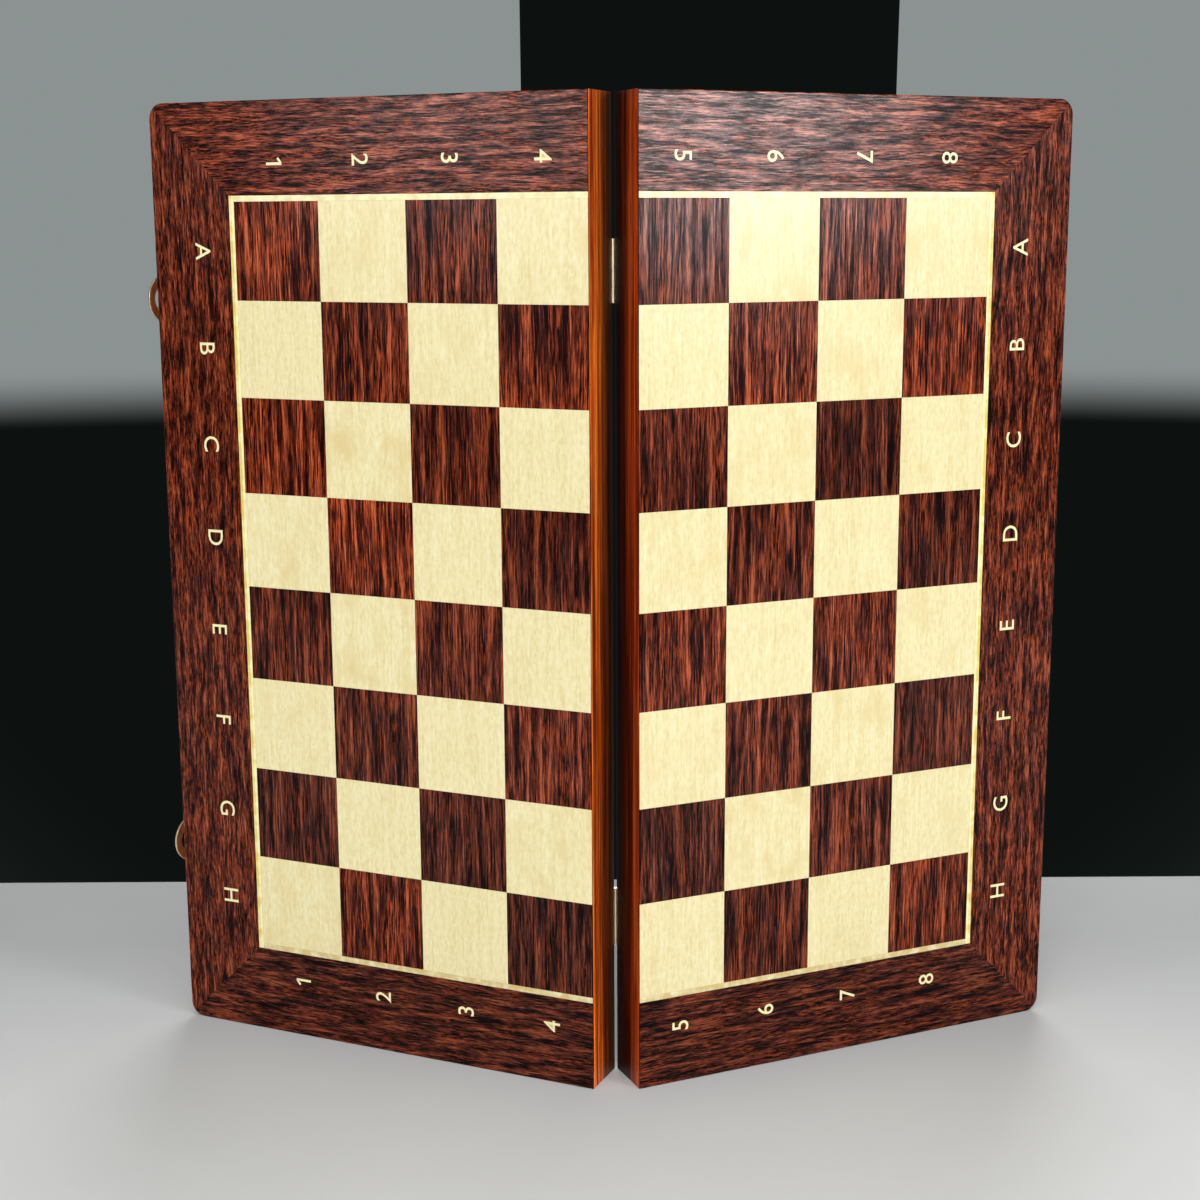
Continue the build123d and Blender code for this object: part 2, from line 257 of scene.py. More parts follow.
# Small unevenness of a brushed-on finish, and of polish on metal
def makeFinishGroup():
    inputs = {"Vector": None, "Scale": 40.0, "Amount": 0.1, "Middle": 0.4}
    tree, given, out = newGroup("unevenFinish", inputs, ["Roughness"])
    cloud = noiseAt(tree, given["Vector"], 3.0, 0.6, given["Scale"])
    spread = calc(tree, "MULTIPLY", calc(tree, "SUBTRACT", cloud, 0.5), given["Amount"])
    uneven = calc(tree, "ADD", spread, given["Middle"], clamp=True)
    tree.links.new(uneven, out["Roughness"])
    return tree


grainGroup = makeGrainGroup()
squareGroup = makeSquareGroup()
finishGroup = makeFinishGroup()
print("node groups made")


# A material with its shader, the plain place, and the place on one half as across, depth and up
def startMaterial(name, side=None, **shader):
    material = bpy.data.materials.new(name)
    material.use_nodes = True
    tree = material.node_tree
    principled = tree.nodes["Principled BSDF"]
    for socket, value in shader.items():
        principled.inputs[socket.replace("_", " ")].default_value = value
    spot = addNode(tree, "TexCoord").outputs["Object"]
    if side is None:
        return material, tree, principled, spot, None
    sign = sideSign(side)
    turned = addNode(tree, "Mapping", {
        "Vector": spot,
        "Location": (sign * board["cornerX"], board["cornerY"], 0),
        "Rotation": (0, 0, sign * board["lean"]),
    }, vector_type="TEXTURE")
    parts = splitXyz(tree, turned.outputs[0])
    across = calc(tree, "MULTIPLY", parts[0], sign)
    return material, tree, principled, spot, (across, parts[1], parts[2])


def connect(tree, principled, **outputs):
    for socket, value in outputs.items():
        tree.links.new(value, principled.inputs[socket.replace("_", " ")])


def unevenRoughness(tree, spot, scale, amount, middle):
    return useGroup(tree, finishGroup, Vector=spot, Scale=scale, Amount=amount, Middle=middle)[0]


# 1 on faces that look one way, or also on those that look the other way
def facingMask(tree, direction, bothWays=False):
    sockets = {0: addNode(tree, "TexCoord").outputs["Normal"], 1: direction}
    dot = addNode(tree, "VectorMath", sockets, operation="DOT_PRODUCT").outputs["Value"]
    return remap(tree, calc(tree, "ABSOLUTE", dot) if bothWays else dot, *squarely)


veneer = {
    "darkStops": [
        (0.0, (0.006, 0.0003, 0.0001)),
        (0.25, (0.026, 0.0020, 0.0004)),
        (0.5, (0.094, 0.0110, 0.0020)),
        (0.75, (0.200, 0.0280, 0.0060)),
        (1.0, (0.420, 0.0800, 0.0190)),
    ],
    "contrast": (0.448, 0.604),
    "fleck": (0.46, 0.075, 0.018, 1),
    "fleckShare": 0.85,
    "cutEdge": (0.030, 0.004, 0.003, 1),
    "squareGrain": (0.017, 0.0008, 0.0022),   # length, width and wave, in metres
    "borderGrain": (0.0080, 0.0007, 0.0036),
    "squareTones": (0.5, 1.35),               # the darkest and the brightest square
    "shares": (0.5, 0.5),                     # of fibre and streak
    "seed": {"left": 1.7, "right": 4.3},
    "seedSpread": 9.0,                        # over the squares
    "roughness": 0.24,
    "gloss": 0.04,
    "lacquer": (0.10, 0.74),                  # over the pores and over the ridges
    "bump": (0.00005, 0.5),
    "finish": (60.0, 0.1),
    "lightStops": [
        (0.0, (0.64, 0.53, 0.24)),
        (0.5, (0.765, 0.675, 0.375)),
        (1.0, (0.84, 0.79, 0.52)),
    ],
    "lightContrast": (0.31, 0.69),
    "lightGrain": (0.02, 0.0009, 0.003),
    "lightShares": (0.35, 0.25, 0.4),         # of fibre, streak and speck
    "lightSpeck": (0.0035, 0.0016),
    "lightCloud": (0.022, 0.012),
    "lightSeeds": (17.0, 31.0),               # of speck and cloud
    "lightFigure": (0.69, 0.55, 0.25, 1),
    "figureEdge": (0.47, 0.70),
    "figureShares": (0.2, 1.0, 0.1, 0.85),    # from the plainest square to the most figured
    "lightGloss": 0.42,
    "lightBump": (0.00004, 0.4),
}


# Fibre, streak and fleck of a grain that is given as its length, width and wave
def grainOf(tree, along, across, depth, seed, shape):
    length, width, wave = shape
    return useGroup(
        tree, grainGroup, Along=along, Across=across, Depth=depth, Seed=seed,
        Length=length, Width=width, Wave=wave,
    )


def squareOf(tree, side, across, up):
    return useGroup(tree, squareGroup, Across=across, Up=up, Half=float(sideSign(side)))


def darkVeneerMaterial(name, side, upright=True, squares=False, brightness=1.0):
    material, tree, principled, spot, (across, depth, up) = startMaterial(
        name, side, Specular_IOR_Level=veneer["gloss"], Coat_Roughness=veneer["roughness"],
    )
    seed = veneer["seed"][side]
    tone = brightness
    if squares:
        first, second = squareOf(tree, side, across, up)
        seed = calc(tree, "ADD", calc(tree, "MULTIPLY", first, veneer["seedSpread"]), seed)
        tone = remap(tree, second, 0.0, 1.0, *(brightness * k for k in veneer["squareTones"]))
    along, over = (up, across) if upright else (across, up)
    shape = veneer["squareGrain" if squares else "borderGrain"]
    fibre, streak, fleck = grainOf(tree, along, over, depth, seed, shape)
    mixed = weigh(tree, *zip((fibre, streak), veneer["shares"]))
    colour = rampOf(tree, remap(tree, mixed, *veneer["contrast"]), veneer["darkStops"])
    flecked = calc(tree, "MULTIPLY", fleck, veneer["fleckShare"])
    colour = scaleColour(tree, mixColour(tree, flecked, colour, veneer["fleck"]), tone)
    if squares or not upright:
        cut = facingMask(tree, outwardOf(side), bothWays=True)
        colour = mixColour(tree, cut, colour, veneer["cutEdge"])
    rough = unevenRoughness(tree, spot, *veneer["finish"], veneer["roughness"])
    lacquer = remap(tree, mixed, *veneer["contrast"], *veneer["lacquer"])
    connect(tree, principled, Base_Color=colour, Roughness=rough, Coat_Weight=lacquer)
    connect(tree, principled, Normal=bumpOf(tree, fibre, *veneer["bump"]))
    return material


def lightVeneerMaterial(name, side):
    material, tree, principled, spot, (across, depth, up) = startMaterial(
        name, side, Specular_IOR_Level=veneer["lightGloss"],
    )
    first, second = squareOf(tree, side, across, up)
    seed = calc(tree, "MULTIPLY", first, veneer["seedSpread"])
    fibre, streak, _ = grainOf(tree, up, across, depth, seed, veneer["lightGrain"])
    speckSeed, cloudSeed = [calc(tree, "MULTIPLY", first, k) for k in veneer["lightSeeds"]]
    speck = noiseAt(tree, cellsAt(tree, up, across, veneer["lightSpeck"], speckSeed), 3.0)
    cloud = noiseAt(tree, cellsAt(tree, up, across, veneer["lightCloud"], cloudSeed), 2.0)
    mixed = weigh(tree, *zip((fibre, streak, speck), veneer["lightShares"]))
    colour = rampOf(tree, remap(tree, mixed, *veneer["lightContrast"]), veneer["lightStops"])
    share = remap(tree, second, *veneer["figureShares"])
    figure = calc(tree, "MULTIPLY", remap(tree, cloud, *veneer["figureEdge"]), share)
    colour = mixColour(tree, figure, colour, veneer["lightFigure"])
    cut = facingMask(tree, outwardOf(side), bothWays=True)
    colour = mixColour(tree, cut, colour, veneer["cutEdge"])
    rough = unevenRoughness(tree, spot, *veneer["finish"], veneer["roughness"])
    connect(tree, principled, Base_Color=colour, Roughness=rough)
    connect(tree, principled, Normal=bumpOf(tree, fibre, *veneer["lightBump"]))
    return material


stringingLook = {
    "outer": (0.72, 0.57, 0.12, 1),
    "inner": (0.86, 0.77, 0.36, 1),
    "top": (0.80, 0.73, 0.40, 1),
    "bottom": (0.60, 0.47, 0.21, 1),
    "pale": (0.92, 0.88, 0.58, 1),
    "paleSpots": (0.45, 0.70, 0.0, 0.6),
    "deep": (0.60, 0.42, 0.09, 1),
    "deepSpots": (0.50, 0.30, 0.0, 0.4),
    "speckle": (0.006, 0.006),
    "split": 0.0014,              # how much of the side's width is its inner strip
    "roughness": 0.4,
    "coat": {"Coat_Weight": 0.3, "Coat_Roughness": 0.3},
}


def stringingMaterial(name, side):
    look = stringingLook
    material, tree, principled, spot, (across, _, up) = startMaterial(name, side, **look["coat"])
    isTop = calc(tree, "GREATER_THAN", up, board["halfLength"] / 2)
    isSide = calc(tree, "GREATER_THAN", across, board["fieldWidth"])
    isOuter = calc(tree, "GREATER_THAN", across, board["fieldWidth"] + look["split"])
    # The bottom string is darker than the top one
    ends = mixColour(tree, isTop, look["bottom"], look["top"])
    strips = mixColour(tree, isOuter, look["inner"], look["outer"])
    colour = mixColour(tree, isSide, ends, strips)
    speckle = noiseAt(tree, cellsAt(tree, up, across, look["speckle"]), 2.0)
    for spots in ("pale", "deep"):
        amount = remap(tree, speckle, *look[spots + "Spots"])
        colour = mixColour(tree, amount, colour, look[spots])
    cut = facingMask(tree, outwardOf(side), bothWays=True)
    colour = mixColour(tree, cut, colour, veneer["cutEdge"])
    rough = unevenRoughness(tree, spot, *veneer["finish"], look["roughness"])
    connect(tree, principled, Base_Color=colour, Roughness=rough)
    return material


railLook = {
    "stops": [
        (0.0, (0.085, 0.009, 0.001)),
        (0.4, (0.27, 0.042, 0.004)),
        (0.7, (0.44, 0.090, 0.009)),
        (1.0, (0.60, 0.16, 0.02)),
    ],
    "shares": (0.45, 0.55),                     # of fibre and streak
    "seed": {"left": 2.9, "right": 6.1},
    "grain": (0.045, 0.0014, 0.004),
    "contrast": (0.38, 0.62),
    "wallGrain": (0.07, 0.0009, 0.0015),
    "wallContrast": (0.43, 0.60),
    # Painted light brightens the left hinge wall and painted shade darkens and reddens the right
    # one
    "wallLightAndShade": {"left": (1.18, 1.16, 1.0), "right": (0.72, 0.46, 0.50)},
    "paintedGapLight": 1.8,                            # painted light beside the face, at the top
    "paintedGapFall": {"left": 1.5, "right": 2.3},     # how fast the painted shade deepens toward the rims
    "paintedGapFoot": {"left": 1.0, "right": 0.8},     # the share of the painted light that is left at the foot
    "paintedGapReach": 1.1,                            # the depth where the painted light ends and the painted shade is black, in half depths
    "gloss": 0.2,
    "roughness": 0.45,
    "finish": (50.0, 0.12),
    "bump": (0.00006, 0.5),
}


# Painted shade: toward the rims and the foot the two hinge walls darken, as shade in the narrow
# gap, and beside the face at the top they are brightened as painted light
def paintedGapShade(tree, side, depth, up):
    reach = railLook["paintedGapReach"] * board["halfDepth"]
    left = calc(tree, "SUBTRACT", 1.0, calc(tree, "DIVIDE", depth, reach), clamp=True)
    front = railLook["paintedGapLight"]
    foot = railLook["paintedGapFoot"][side] * front
    height = remap(tree, up, 0.0, board["halfLength"], foot, front)
    fall = calc(tree, "MULTIPLY", calc(tree, "POWER", left, railLook["paintedGapFall"][side]), height)
    # Only the face of each hinge wall that looks across the gap gets this painted light and shade
    sockets = {0: facingMask(tree, -outwardOf(side)), 2: 1.0, 3: fall}
    return addNode(tree, "Mix", sockets, data_type="FLOAT").outputs[0]


def railMaterial(name, side, upright=True, atHinge=False):
    material, tree, principled, spot, (across, depth, up) = startMaterial(
        name, side, Specular_IOR_Level=railLook["gloss"],
    )
    along, over = (up, across) if upright else (across, up)
    shape = railLook["wallGrain" if atHinge else "grain"]
    fibre, streak, _ = grainOf(tree, along, over, depth, railLook["seed"][side], shape)
    mixed = weigh(tree, *zip((fibre, streak), railLook["shares"]))
    contrast = railLook["wallContrast" if atHinge else "contrast"]
    colour = rampOf(tree, remap(tree, mixed, *contrast), railLook["stops"])
    if atHinge:
        # the hinge walls' per-side painted light and shade
        sockets = {0: colour, 1: railLook["wallLightAndShade"][side]}
        litAndShadedWall = addNode(tree, "VectorMath", sockets, operation="MULTIPLY").outputs[0]
        # painted shade toward the hinge wall's rims and foot, painted light beside its face
        colour = scaleColour(tree, litAndShadedWall, paintedGapShade(tree, side, depth, up))
    rough = unevenRoughness(tree, spot, *railLook["finish"], railLook["roughness"])
    connect(tree, principled, Base_Color=colour, Roughness=rough)
    connect(tree, principled, Normal=bumpOf(tree, fibre, *railLook["bump"]))
    return material


plywood = {
    "stops": [(0.3, (0.55, 0.38, 0.20)), (0.7, (0.75, 0.58, 0.36))],
    "grain": (0.03, 0.0012),
    "ply": 0.0016,
    "glue": (0.42, 0.27, 0.13, 1),
    "glueShare": 0.4,
    "roughness": 0.7,
}


def plywoodMaterial(side):
    material, tree, principled, _, (across, depth, up) = startMaterial(
        side + "Plywood", side, Roughness=plywood["roughness"],
    )
    plies = calc(tree, "SINE", calc(tree, "MULTIPLY", depth, 2 * pi / plywood["ply"]))
    fibre = noiseAt(tree, cellsAt(tree, up, across, plywood["grain"], depth), 3.0)
    glued = remap(tree, plies, 0.0, 1.0, 0.0, plywood["glueShare"])
    colour = mixColour(tree, glued, rampOf(tree, fibre, plywood["stops"]), plywood["glue"])
    connect(tree, principled, Base_Color=colour)
    return material


brassLook = {
    "colour": (0.90, 0.76, 0.48, 1),
    "dull": (0.66, 0.53, 0.31, 1),
    "dullPatches": (0.45, 0.8),
    "patchScale": 140.0,
    "roughness": 0.36,
    "finish": (320.0, 0.2),
}


def brassMaterial():
    material, tree, principled, spot, _ = startMaterial("brass", Metallic=1.0)
    patches = noiseAt(tree, spot, 4.0, 0.6, brassLook["patchScale"])
    tarnish = remap(tree, patches, *brassLook["dullPatches"])
    colour = mixColour(tree, tarnish, brassLook["colour"], brassLook["dull"])
    rough = unevenRoughness(tree, spot, *brassLook["finish"], brassLook["roughness"])
    connect(tree, principled, Base_Color=colour, Roughness=rough)
    return material


steelLook = {
    "stops": [(0.3, (0.42, 0.38, 0.31)), (0.7, (0.66, 0.60, 0.50))],
    "drawnScale": 900.0,
    "roughness": 0.35,
    "finish": (600.0, 0.2),
}


def steelMaterial():
    material, tree, principled, spot, _ = startMaterial("pinSteel", Metallic=1.0)
    drawn = noiseAt(tree, spot, 3.0, 0.6, steelLook["drawnScale"])
    rough = unevenRoughness(tree, spot, *steelLook["finish"], steelLook["roughness"])
    connect(tree, principled, Base_Color=rampOf(tree, drawn, steelLook["stops"]), Roughness=rough)
    return material


feltLook = {
    "stops": [(0.36, (0.012, 0.075, 0.030)), (0.64, (0.035, 0.16, 0.065))],
    "fuzzScale": 700.0,
    "patchScale": 35.0,
    "shares": (0.7, 0.3),  # of fuzz and patches
    "bump": (0.0003, 0.7),
    "shader": {"Roughness": 0.95, "Sheen_Weight": 0.5, "Sheen_Roughness": 0.5},
}


def feltMaterial():
    material, tree, principled, spot, _ = startMaterial("felt", **feltLook["shader"])
    fuzz = noiseAt(tree, spot, 5.0, 0.75, feltLook["fuzzScale"])
    patches = noiseAt(tree, spot, 2.0, 0.5, feltLook["patchScale"])
    tone = weigh(tree, *zip((fuzz, patches), feltLook["shares"]))
    connect(tree, principled, Base_Color=rampOf(tree, tone, feltLook["stops"]))
    connect(tree, principled, Normal=bumpOf(tree, fuzz, *feltLook["bump"]))
    return material


letteringLook = {
    "stops": [(0.3, (0.76, 0.67, 0.34)), (0.7, (0.88, 0.81, 0.46))],
    "speckScale": 900.0,
    "shader": {"Coat_Weight": 0.3, "Coat_Roughness": 0.3, "Roughness": 0.4},
}


def letteringMaterial():
    material, tree, principled, spot, _ = startMaterial("lettering", **letteringLook["shader"])
    specks = noiseAt(tree, spot, 3.0, 0.6, letteringLook["speckScale"])
    connect(tree, principled, Base_Color=rampOf(tree, specks, letteringLook["stops"]))
    return material


brass = brassMaterial()
steel = steelMaterial()
felt = feltMaterial()
lettering = letteringMaterial()
# The side border is darker than the top one, and the bottom border darker still
borderBrightness = {"side": 0.85, "bottom": 0.55}


# Each of one half's wooden and felt nodes with its material
def looksOfHalf(side):
    uprightRail = railMaterial(side + "UprightRail", side)
    levelRail = railMaterial(side + "LevelRail", side, upright=False)
    return {
        side + "_hinge_rail": railMaterial(side + "HingeRail", side, atHinge=True),
        side + "_clasp_rail": uprightRail,
        side + "_top_rail": levelRail,
        side + "_bottom_rail": levelRail,
        side + "_long_divider": uprightRail,
        side + "_cross_divider": levelRail,
        side + "_panel": plywoodMaterial(side),
        side + "_dark_squares": darkVeneerMaterial(side + "DarkSquares", side, squares=True),
        side + "_light_squares": lightVeneerMaterial(side + "LightSquares", side),
        side + "_stringing": stringingMaterial(side + "Stringing", side),
        side + "_border_side": darkVeneerMaterial(
            side + "SideBorder", side, brightness=borderBrightness["side"],
        ),
        side + "_border_top": darkVeneerMaterial(side + "TopBorder", side, upright=False),
        side + "_border_bottom": darkVeneerMaterial(
            side + "BottomBorder", side, upright=False, brightness=borderBrightness["bottom"],
        ),
        side + "_felt_lining": felt,
    }


# Gives every CAD node its finish
def finishNodes():
    looks = {**looksOfHalf("left"), **looksOfHalf("right")}
    for name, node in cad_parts.items():
        look = steel if name.endswith("_pin") else looks.get(name, brass)
        for slot in node.material_slots:
            slot.material = look


finishNodes()
print("materials made")


def deselect():
    if bpy.context.object and bpy.context.object.mode != "OBJECT":
        bpy.ops.object.mode_set(mode="OBJECT")
    bpy.ops.object.select_all(action="DESELECT")


def pick(piece):
    deselect()
    piece.select_set(True)
    bpy.context.view_layer.objects.active = piece


# Moves a piece's mesh to its place, so that its object stays at the origin
def settle(piece, matrix=None):
    piece.data.transform(matrix @ piece.matrix_world if matrix else piece.matrix_world)
    piece.matrix_world = Matrix.Identity(4)
    piece.data.update()


def applyModifier(piece, kind, **settings):
    pick(piece)
    modifier = piece.modifiers.new(kind.lower(), kind)
    for name, value in settings.items():
        setattr(modifier, name, value)
    bpy.ops.object.modifier_apply(modifier=modifier.name)


# Rounds the edges that are sharper than an angle, in degrees
def easeEdges(piece, width, segments, angle):
    applyModifier(
        piece, "BEVEL", width=width, segments=segments,
        limit_method="ANGLE", angle_limit=radians(angle),
    )


# Merges doubles, clears edges inside flat faces where an angle is given, and turns faces outwards
def tidyMesh(piece, angle=0.0):
    pick(piece)
    bpy.ops.object.mode_set(mode="EDIT")
    bpy.ops.mesh.select_all(action="SELECT")
    bpy.ops.mesh.remove_doubles(threshold=mergeDistance)
    if angle:
        bpy.ops.mesh.dissolve_limited(angle_limit=angle)
    bpy.ops.mesh.normals_make_consistent(inside=False)
    bpy.ops.object.mode_set(mode="OBJECT")


def finishPiece(piece, name, material, body):
    piece.name = name
    piece.data.name = name
    piece.data.materials.clear()
    piece.data.materials.append(material)
    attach(piece, body)


def joinPieces(pieces):
    deselect()
    for piece in pieces:
        piece.select_set(True)
    bpy.context.view_layer.objects.active = pieces[0]
    bpy.ops.object.join()
    return bpy.context.object


# A new object with its own copy of a mesh
def addCopy(name, mesh):
    piece = bpy.data.objects.new(name, mesh.copy())
    scene.collection.objects.link(piece)
    return piece


# A matrix that turns a piece's top to upAxis and its front to facing, at that place
def facingAt(place, upAxis, facing):
    matrix = Matrix((upAxis.cross(facing), upAxis, facing)).transposed().to_4x4()
    matrix.translation = place
    return matrix


letters = {
    "capHeight": 0.0096,
    "fontCap": 0.729,        # a capital's height in the font's own units
    "lift": 0.00003,
    "letterOffset": 0.0200,
    "topOffset": 0.0198,
    "bottomOffset": 0.0192,
    "boldness": 0.003,
    "curveSteps": 4,
    "flagLength": 0.24,      # from here on in the font's own units
    "flagWidth": 0.09,
    "flagBack": 0.28,        # how far the flag's middle is out and down, in its lengths
    "flagDrop": 0.42,
    "flagTurn": radians(38),
}


# The font's 1 is a bare bar, so this gives it a short stroke down from its head
def addFlag(bar):
    left = min(v.co.x for v in bar.data.vertices)
    top = max(v.co.y for v in bar.data.vertices)
    long, wide = letters["flagLength"], letters["flagWidth"]
    bpy.ops.mesh.primitive_cube_add(size=1, rotation=(0, 0, letters["flagTurn"]))
    flag = bpy.context.object
    flag.scale = (long, wide, 2 * letters["lift"])
    flag.location = (left - letters["flagBack"] * long, top - letters["flagDrop"] * long, 0)
    bpy.ops.object.transform_apply(location=True, rotation=True, scale=True)
    return joinPieces([bar, flag])


# One letter or digit as a thin mesh, its middle at a place on the face and its head one way
def makeLetter(text, side, across, up, head):
    deselect()
    bpy.ops.object.text_add()
    piece = bpy.context.object
    piece.data.body = text
    piece.data.offset = letters["boldness"]
    piece.data.extrude = letters["lift"]
    piece.data.resolution_u = letters["curveSteps"]
    bpy.ops.object.convert(target="MESH")
    if text == "1":
        piece = addFlag(piece)
    xs = [v.co.x for v in piece.data.vertices]
    ys = [v.co.y for v in piece.data.vertices]
    scale = letters["capHeight"] / letters["fontCap"]
    middle = Vector(((min(xs) + max(xs)) / 2, (min(ys) + max(ys)) / 2, 0))
    flat = Matrix.Diagonal((scale, scale, 1, 1)) @ Matrix.Translation(-middle)
    settle(piece, facingAt(boardPoint(side, across, up), head, -inwardOf(side)) @ flat)
    tidyMesh(piece)
    return piece


def makeCoordinates(side, digits):
    top = board["halfLength"] - board["fieldFoot"]
    towardHinge = -outwardOf(side)
    rightward = towardHinge if side == "left" else -towardHinge
    made = []
    for row, letter in enumerate("ABCDEFGH"):
        up = top - (row + 0.5) * board["square"]
        across = board["fieldWidth"] + letters["letterOffset"]
        made.append(makeLetter(letter, side, across, up, towardHinge))
    for column, digit in enumerate(digits):
        across = (column + 0.5) * board["square"] - board["seamTrim"]
        above, below = top + letters["topOffset"], board["fieldFoot"] - letters["bottomOffset"]
        made.append(makeLetter(digit, side, across, above, rightward))
        made.append(makeLetter(digit, side, across, below, -rightward))
    piece = joinPieces(made)
    finishPiece(piece, side + "Coordinates", lettering, bodies[side])


makeCoordinates("left", "4321")
makeCoordinates("right", "5678")
print("coordinates made")


feltSheet = {
    "margin": 0.0104,      # from the half's outside to the felt
    "bottom": 0.0048,      # the panel's inner face
    "thickness": 0.00092,
    "step": 0.004,
    "lift": 0.00012,
    "cloudSize": 0.012,
    "edge": (0.0002, 2, 60),   # width, segments and least angle
}


# The felt that is glued to a tray's floor, as a sheet with a soft face
def makeFelt(side):
    width = board["halfWidth"] - 2 * feltSheet["margin"]
    length = board["halfLength"] - 2 * feltSheet["margin"]
    columns, rows = [round(size / feltSheet["step"]) for size in (width, length)]
    deselect()
    bpy.ops.mesh.primitive_grid_add(x_subdivisions=columns, y_subdivisions=rows, size=1)
    piece = bpy.context.object
    bpy.ops.transform.resize(value=(width, length, 1))
    settle(piece)
    clouds = bpy.data.textures.new(side + "FeltClouds", "CLOUDS")
    clouds.noise_scale = feltSheet["cloudSize"]
    applyModifier(piece, "DISPLACE", texture=clouds, strength=feltSheet["lift"], mid_level=1.0)
    applyModifier(piece, "SOLIDIFY", thickness=feltSheet["thickness"], offset=-1)
    easeEdges(piece, *feltSheet["edge"])
    top = feltSheet["bottom"] + feltSheet["thickness"]
    middle = boardPoint(side, board["halfWidth"] / 2, board["halfLength"] / 2, top)
    settle(piece, facingAt(middle, upward, inwardOf(side)))
    bpy.ops.object.shade_smooth_by_angle(angle=smoothAngle)
    finishPiece(piece, side + "FeltSheet", felt, bodies[side])
    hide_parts(side + "_felt_lining")


makeFelt("left")
makeFelt("right")
print("felt laid")


# Each brass piece with the body that it rides on, and its edge as width, segments and least angle
eased = {
    "upper_clasp_loop": ("upper_clasp", (0.00028, 3, 35)),
    "lower_clasp_loop": ("lower_clasp", (0.00028, 3, 35)),
    "upper_clasp_plate": ("left_half", (0.00012, 2, 35)),
    "lower_clasp_plate": ("left_half", (0.00012, 2, 35)),
    "upper_catch": ("right_half", (0.00014, 2, 35)),
    "lower_catch": ("right_half", (0.00014, 2, 35)),
}


# Stands for a CAD node with the same form and eased edges
def easeNode(name, body, edge):
    piece = addCopy(name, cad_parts[name].data)
    tidyMesh(piece, flatAngle)
    easeEdges(piece, *edge)
    bpy.ops.object.shade_smooth_by_angle(angle=smoothAngle)
    first, *others = name.split("_")
    finishPiece(piece, first + "".join(word.capitalize() for word in others), brass, body)
    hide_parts(name)


for name, (body, edge) in eased.items():
    easeNode(name, body, edge)
print("brass eased")


screw = {
    "headRadius": 0.00188,
    "shankRadius": 0.00098,
    "rim": 0.00012,
    "taper": ((0.65, 0.85), (0.35, 0.25)),  # shares of the length and of the shank's radius
    "slotWidth": 0.00048,
    "slotDepth": 0.00042,
    "sunk": 0.00006,
    "edge": (0.00005, 1, 50),
    "sides": 32,
}


# One slotted countersunk screw, its head level with the origin and its point down
def makeScrew(length):
    deselect()
    radius, shank = screw["headRadius"], screw["shankRadius"]
    bpy.ops.mesh.primitive_circle_add(vertices=screw["sides"], radius=radius, fill_type="NGON")
    piece = bpy.context.object
    bpy.ops.object.mode_set(mode="EDIT")
    sink = radius - shank
    (shaftShare, narrowShare), (tipShare, pointShare) = screw["taper"]
    for drop, nextRadius in (
        (screw["rim"], radius),
        (sink, shank),
        (shaftShare * length, narrowShare * shank),
        (tipShare * length - sink - screw["rim"], pointShare * shank),
    ):
        bpy.ops.mesh.extrude_region_move(TRANSFORM_OT_translate={"value": (0, 0, -drop)})
        bpy.ops.transform.resize(value=(nextRadius / radius, nextRadius / radius, 1))
        radius = nextRadius
    bpy.ops.object.mode_set(mode="OBJECT")
    tidyMesh(piece)
    bpy.ops.mesh.primitive_cube_add(size=1)
    cutter = bpy.context.object
    cutter.scale = (5 * screw["headRadius"], screw["slotWidth"], 2 * screw["slotDepth"])
    applyModifier(piece, "BOOLEAN", object=cutter, operation="DIFFERENCE", solver="EXACT")
    bpy.data.objects.remove(cutter)
    easeEdges(piece, *screw["edge"])
    bpy.ops.object.shade_smooth_by_angle(angle=smoothAngle)
    return piece


# In pairs about the heights, each screw's slot turned by its degrees
hingeScrews = {
    "heights": (0.0845, 0.4155),
    "spacing": 0.019,
    "across": 0.004715,
    "depth": board["halfDepth"],
    "length": 0.0085,
    "turns": {"left": (12, 75, 131, 40), "right": (88, 20, 55, 160)},
}
plateScrews = {
    "heights": (0.1000, 0.4000),
    "spacing": 0.016,
    "across": board["halfWidth"] + 0.001,
    "depth": 0.01925,
    "length": 0.0062,
    "turns": {"left": (5, 66, 140, 95)},
}
catchScrews = {
    "heights": (0.1000, 0.4000),
    "spacing": 0.021,
    "across": board["halfWidth"] + 0.001,
    "depth": 0.0158,
    "length": 0.0062,
    "turns": {"right": (33, 110, 172, 60)},
}


# Copies of one screw at the places of a row, their heads facing one way
def placeScrews(name, node, side, row, facing):
    first = makeScrew(row["length"])
    places = [
        boardPoint(side, row["across"], height + step * row["spacing"] / 2, row["depth"])
        for height in row["heights"] for step in (-1, 1)
    ]
    made = []
    for place, turn in zip(places, row["turns"][side]):
        piece = addCopy(name, first.data)
        spin = Matrix.Rotation(radians(turn), 4, "Z")
        sunk = place - facing * screw["sunk"]
        piece.data.transform(facingAt(sunk, upward, facing) @ spin)
        made.append(piece)
    bpy.data.objects.remove(first)
    piece = joinPieces(made)
    finishPiece(piece, name, brass, bodies[side])
    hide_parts(node)


for side in ("left", "right"):
    placeScrews(side + "HingeScrews", side + "_hinge_screws", side, hingeScrews, inwardOf(side))
placeScrews("claspPlateScrews", "clasp_plate_screws", "left", plateScrews, outwardOf("left"))
placeScrews("catchScrews", "catch_screws", "right", catchScrews, outwardOf("right"))
print("screws made")


